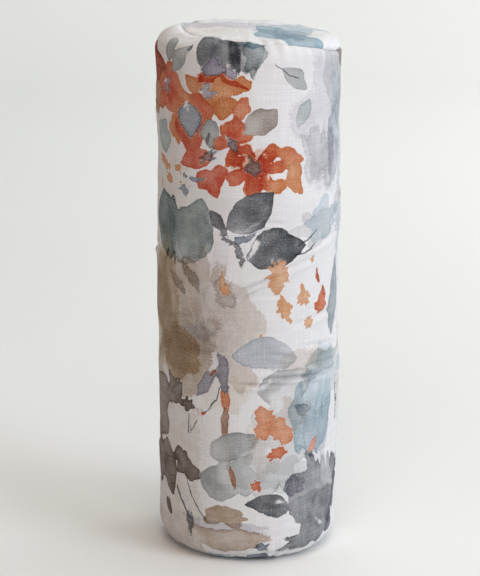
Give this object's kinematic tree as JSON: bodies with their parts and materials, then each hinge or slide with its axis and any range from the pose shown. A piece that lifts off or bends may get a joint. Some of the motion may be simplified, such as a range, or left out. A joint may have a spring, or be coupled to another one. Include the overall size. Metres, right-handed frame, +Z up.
{
  "type": "bolster cushion",
  "caption": "Stuffed cylindrical bolster cushion standing on end, in a floral linen cover with flat end discs and a coil zip along its back seam.",
  "frame": {"origin": "centre of the flat lower end, where the roll stands", "axes": "+Z up along the roll, +Y towards the back seam that holds the zip, +X to the right seen from the front"},
  "size_m": [0.208, 0.2127, 0.6],
  "materials": {
    "printed_linen": "matte",
    "sewing_thread": "matte",
    "zip_tape": "matte",
    "zip_coil": "satin",
    "zip_stop": "satin",
    "slider_metal": "satin",
    "spring_steel": "satin",
    "calico": "matte",
    "batting": "matte",
    "foam": "matte"
  },
  "bodies": {
    "cover": {"cover_side_panel": "printed_linen", "cover_top_disc": "printed_linen", "cover_bottom_disc": "printed_linen", "top_seam_thread": "sewing_thread", "bottom_seam_thread": "sewing_thread", "side_seam_thread": "sewing_thread", "zip_topstitching": "sewing_thread", "zip_tape_right": "zip_tape", "zip_tape_left": "zip_tape", "zip_coil_right": "zip_coil", "zip_coil_left": "zip_coil", "zip_top_stops": "zip_stop", "zip_bottom_stop": "zip_stop", "casing_side": "calico", "casing_top_disc": "calico", "casing_bottom_disc": "calico", "casing_seam_thread": "sewing_thread", "batting_wrap": "batting", "batting_top_pad": "batting", "batting_bottom_pad": "batting", "foam_core": "foam"},
    "zip_slider": {"slider_body": "slider_metal", "slider_bridge": "slider_metal", "slider_lock_spring": "spring_steel"},
    "pull_tab": {"pull_tab": "slider_metal"}
  },
  "joints": [
    {"name": "slider_travel", "type": "slide", "parent": "cover", "child": "zip_slider", "axis": [0, 0, -1], "range_m": [0, 0.412], "deforming": ["zip_coil_right", "zip_coil_left", "zip_tape_right", "zip_tape_left"]},
    {"name": "pull_tab_swing", "type": "hinge", "parent": "zip_slider", "child": "pull_tab", "pos_m": [0, 0.1062, 0.5107], "axis": [1, 0, 0], "range_deg": [0, 180]}
  ]
}
